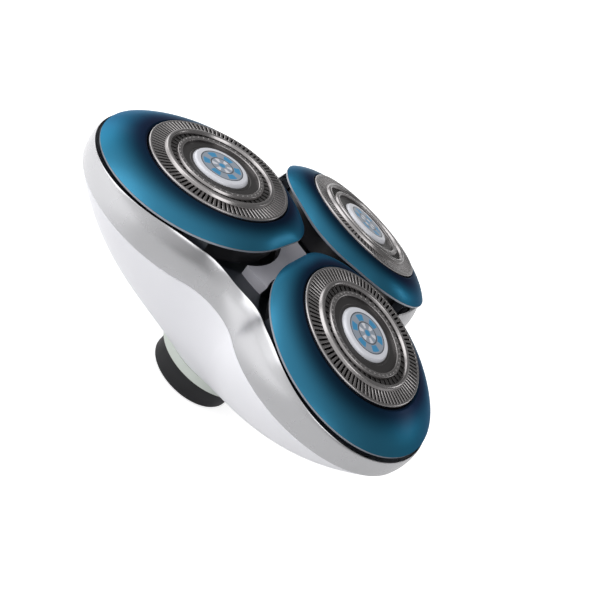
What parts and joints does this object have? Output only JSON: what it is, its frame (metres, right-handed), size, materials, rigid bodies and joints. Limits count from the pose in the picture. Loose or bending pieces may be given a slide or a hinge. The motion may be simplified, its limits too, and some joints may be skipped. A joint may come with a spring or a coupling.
{
  "type": "rotary shaver head",
  "caption": "Lobed rotary shaver head with domed rings, slotted guard caps, spinning cutters, a gear train and a click-on coupling collar.",
  "frame": {"origin": "centre of the coupling collar's end face, on the unit's axis", "axes": "+Z along the unit's axis, out through the shaving heads; +Y towards the third head"},
  "size_m": [0.0652, 0.0608, 0.0336],
  "materials": {
    "white_shell": "satin white plastic",
    "satin_silver": "satin silver lacquer",
    "charcoal": "fine matt charcoal plastic",
    "silver_grey": "satin silver-grey lacquer",
    "natural_plastic": "natural acetal",
    "screw_steel": "plain steel",
    "black_plastic": "matt black plastic",
    "pale_plastic": "pale translucent plastic",
    "seal_rubber": "black rubber",
    "blue_metallic": "metallic satin blue",
    "cap_steel": "satin steel",
    "disc_plastic": "silver-white plastic with a plain ring pattern",
    "cutter_steel": "ground steel"
  },
  "bodies": {
    "housing": {"lower_shell": "white_shell", "rim_band": "satin_silver", "inner_frame": "charcoal", "centre_bridge": "silver_grey", "gear_plate": "natural_plastic", "plate_screws": "screw_steel", "coupling_collar": "black_plastic", "neck_ring": "pale_plastic", "neck_seal": "seal_rubber"},
    "central_gear": {"central_gear": "natural_plastic"},
    "drive_1": {"drive_gear_1": "natural_plastic", "drive_spindle_1": "black_plastic"},
    "head_1": {"holder_1": "black_plastic", "domed_ring_1": "blue_metallic", "retainer_1": "natural_plastic"},
    "cap_1": {"guard_cap_1": "cap_steel", "cap_disc_1": "disc_plastic"},
    "cutter_1": {"cutter_1": "cutter_steel", "cutter_hub_1": "black_plastic"},
    "drive_2": {"drive_gear_2": "natural_plastic", "drive_spindle_2": "black_plastic"},
    "head_2": {"holder_2": "black_plastic", "domed_ring_2": "blue_metallic", "retainer_2": "natural_plastic"},
    "cap_2": {"guard_cap_2": "cap_steel", "cap_disc_2": "disc_plastic"},
    "cutter_2": {"cutter_2": "cutter_steel", "cutter_hub_2": "black_plastic"},
    "drive_3": {"drive_gear_3": "natural_plastic", "drive_spindle_3": "black_plastic"},
    "head_3": {"holder_3": "black_plastic", "domed_ring_3": "blue_metallic", "retainer_3": "natural_plastic"},
    "cap_3": {"guard_cap_3": "cap_steel", "cap_disc_3": "disc_plastic"},
    "cutter_3": {"cutter_3": "cutter_steel", "cutter_hub_3": "black_plastic"}
  },
  "joints": [
    {"name": "central_spin", "type": "hinge", "parent": "housing", "child": "central_gear", "pos_m": [0, 0, 0.0166], "axis": [0, 0, 1], "continuous": true},
    {"name": "drive_spin_1", "type": "hinge", "parent": "housing", "child": "drive_1", "pos_m": [-0.01489, -0.0086, 0.0166], "axis": [0, 0, 1], "continuous": true},
    {"name": "head_tilt_1", "type": "hinge", "parent": "housing", "child": "head_1", "pos_m": [-0.01489, -0.0086, 0.02661], "axis": [-0.5, 0.866, 0], "range_deg": [-2, 6], "stiffness_Nm_per_rad": 0.06},
    {"name": "cap_press_1", "type": "slide", "parent": "head_1", "child": "cap_1", "axis": [-0.1444, -0.0834, 0.986], "range_m": [-0.001, 0], "stiffness_N_per_m": 900},
    {"name": "cutter_spin_1", "type": "hinge", "parent": "cap_1", "child": "cutter_1", "pos_m": [-0.01526, -0.00881, 0.02914], "axis": [-0.1444, -0.0834, 0.986], "continuous": true},
    {"name": "drive_spin_2", "type": "hinge", "parent": "housing", "child": "drive_2", "pos_m": [0.01489, -0.0086, 0.0166], "axis": [0, 0, 1], "continuous": true},
    {"name": "head_tilt_2", "type": "hinge", "parent": "housing", "child": "head_2", "pos_m": [0.01489, -0.0086, 0.02661], "axis": [-0.5, -0.866, 0], "range_deg": [-2, 6], "stiffness_Nm_per_rad": 0.06},
    {"name": "cap_press_2", "type": "slide", "parent": "head_2", "child": "cap_2", "axis": [0.1444, -0.0834, 0.986], "range_m": [-0.001, 0], "stiffness_N_per_m": 900},
    {"name": "cutter_spin_2", "type": "hinge", "parent": "cap_2", "child": "cutter_2", "pos_m": [0.01526, -0.00881, 0.02914], "axis": [0.1444, -0.0834, 0.986], "continuous": true},
    {"name": "drive_spin_3", "type": "hinge", "parent": "housing", "child": "drive_3", "pos_m": [0, 0.0172, 0.0166], "axis": [0, 0, 1], "continuous": true},
    {"name": "head_tilt_3", "type": "hinge", "parent": "housing", "child": "head_3", "pos_m": [0, 0.0172, 0.02661], "axis": [1, 0, 0], "range_deg": [-2, 6], "stiffness_Nm_per_rad": 0.06},
    {"name": "cap_press_3", "type": "slide", "parent": "head_3", "child": "cap_3", "axis": [0, 0.1668, 0.986], "range_m": [-0.001, 0], "stiffness_N_per_m": 900},
    {"name": "cutter_spin_3", "type": "hinge", "parent": "cap_3", "child": "cutter_3", "pos_m": [0, 0.01763, 0.02914], "axis": [0, 0.1668, 0.986], "continuous": true}
  ],
  "couplings": [
    {"joint": "drive_spin_1", "follows": "central_spin", "ratio": -1.3889},
    {"joint": "cutter_spin_1", "follows": "central_spin", "ratio": -1.3889},
    {"joint": "drive_spin_2", "follows": "central_spin", "ratio": -1.3889},
    {"joint": "cutter_spin_2", "follows": "central_spin", "ratio": -1.3889},
    {"joint": "drive_spin_3", "follows": "central_spin", "ratio": -1.3889},
    {"joint": "cutter_spin_3", "follows": "central_spin", "ratio": -1.3889}
  ]
}
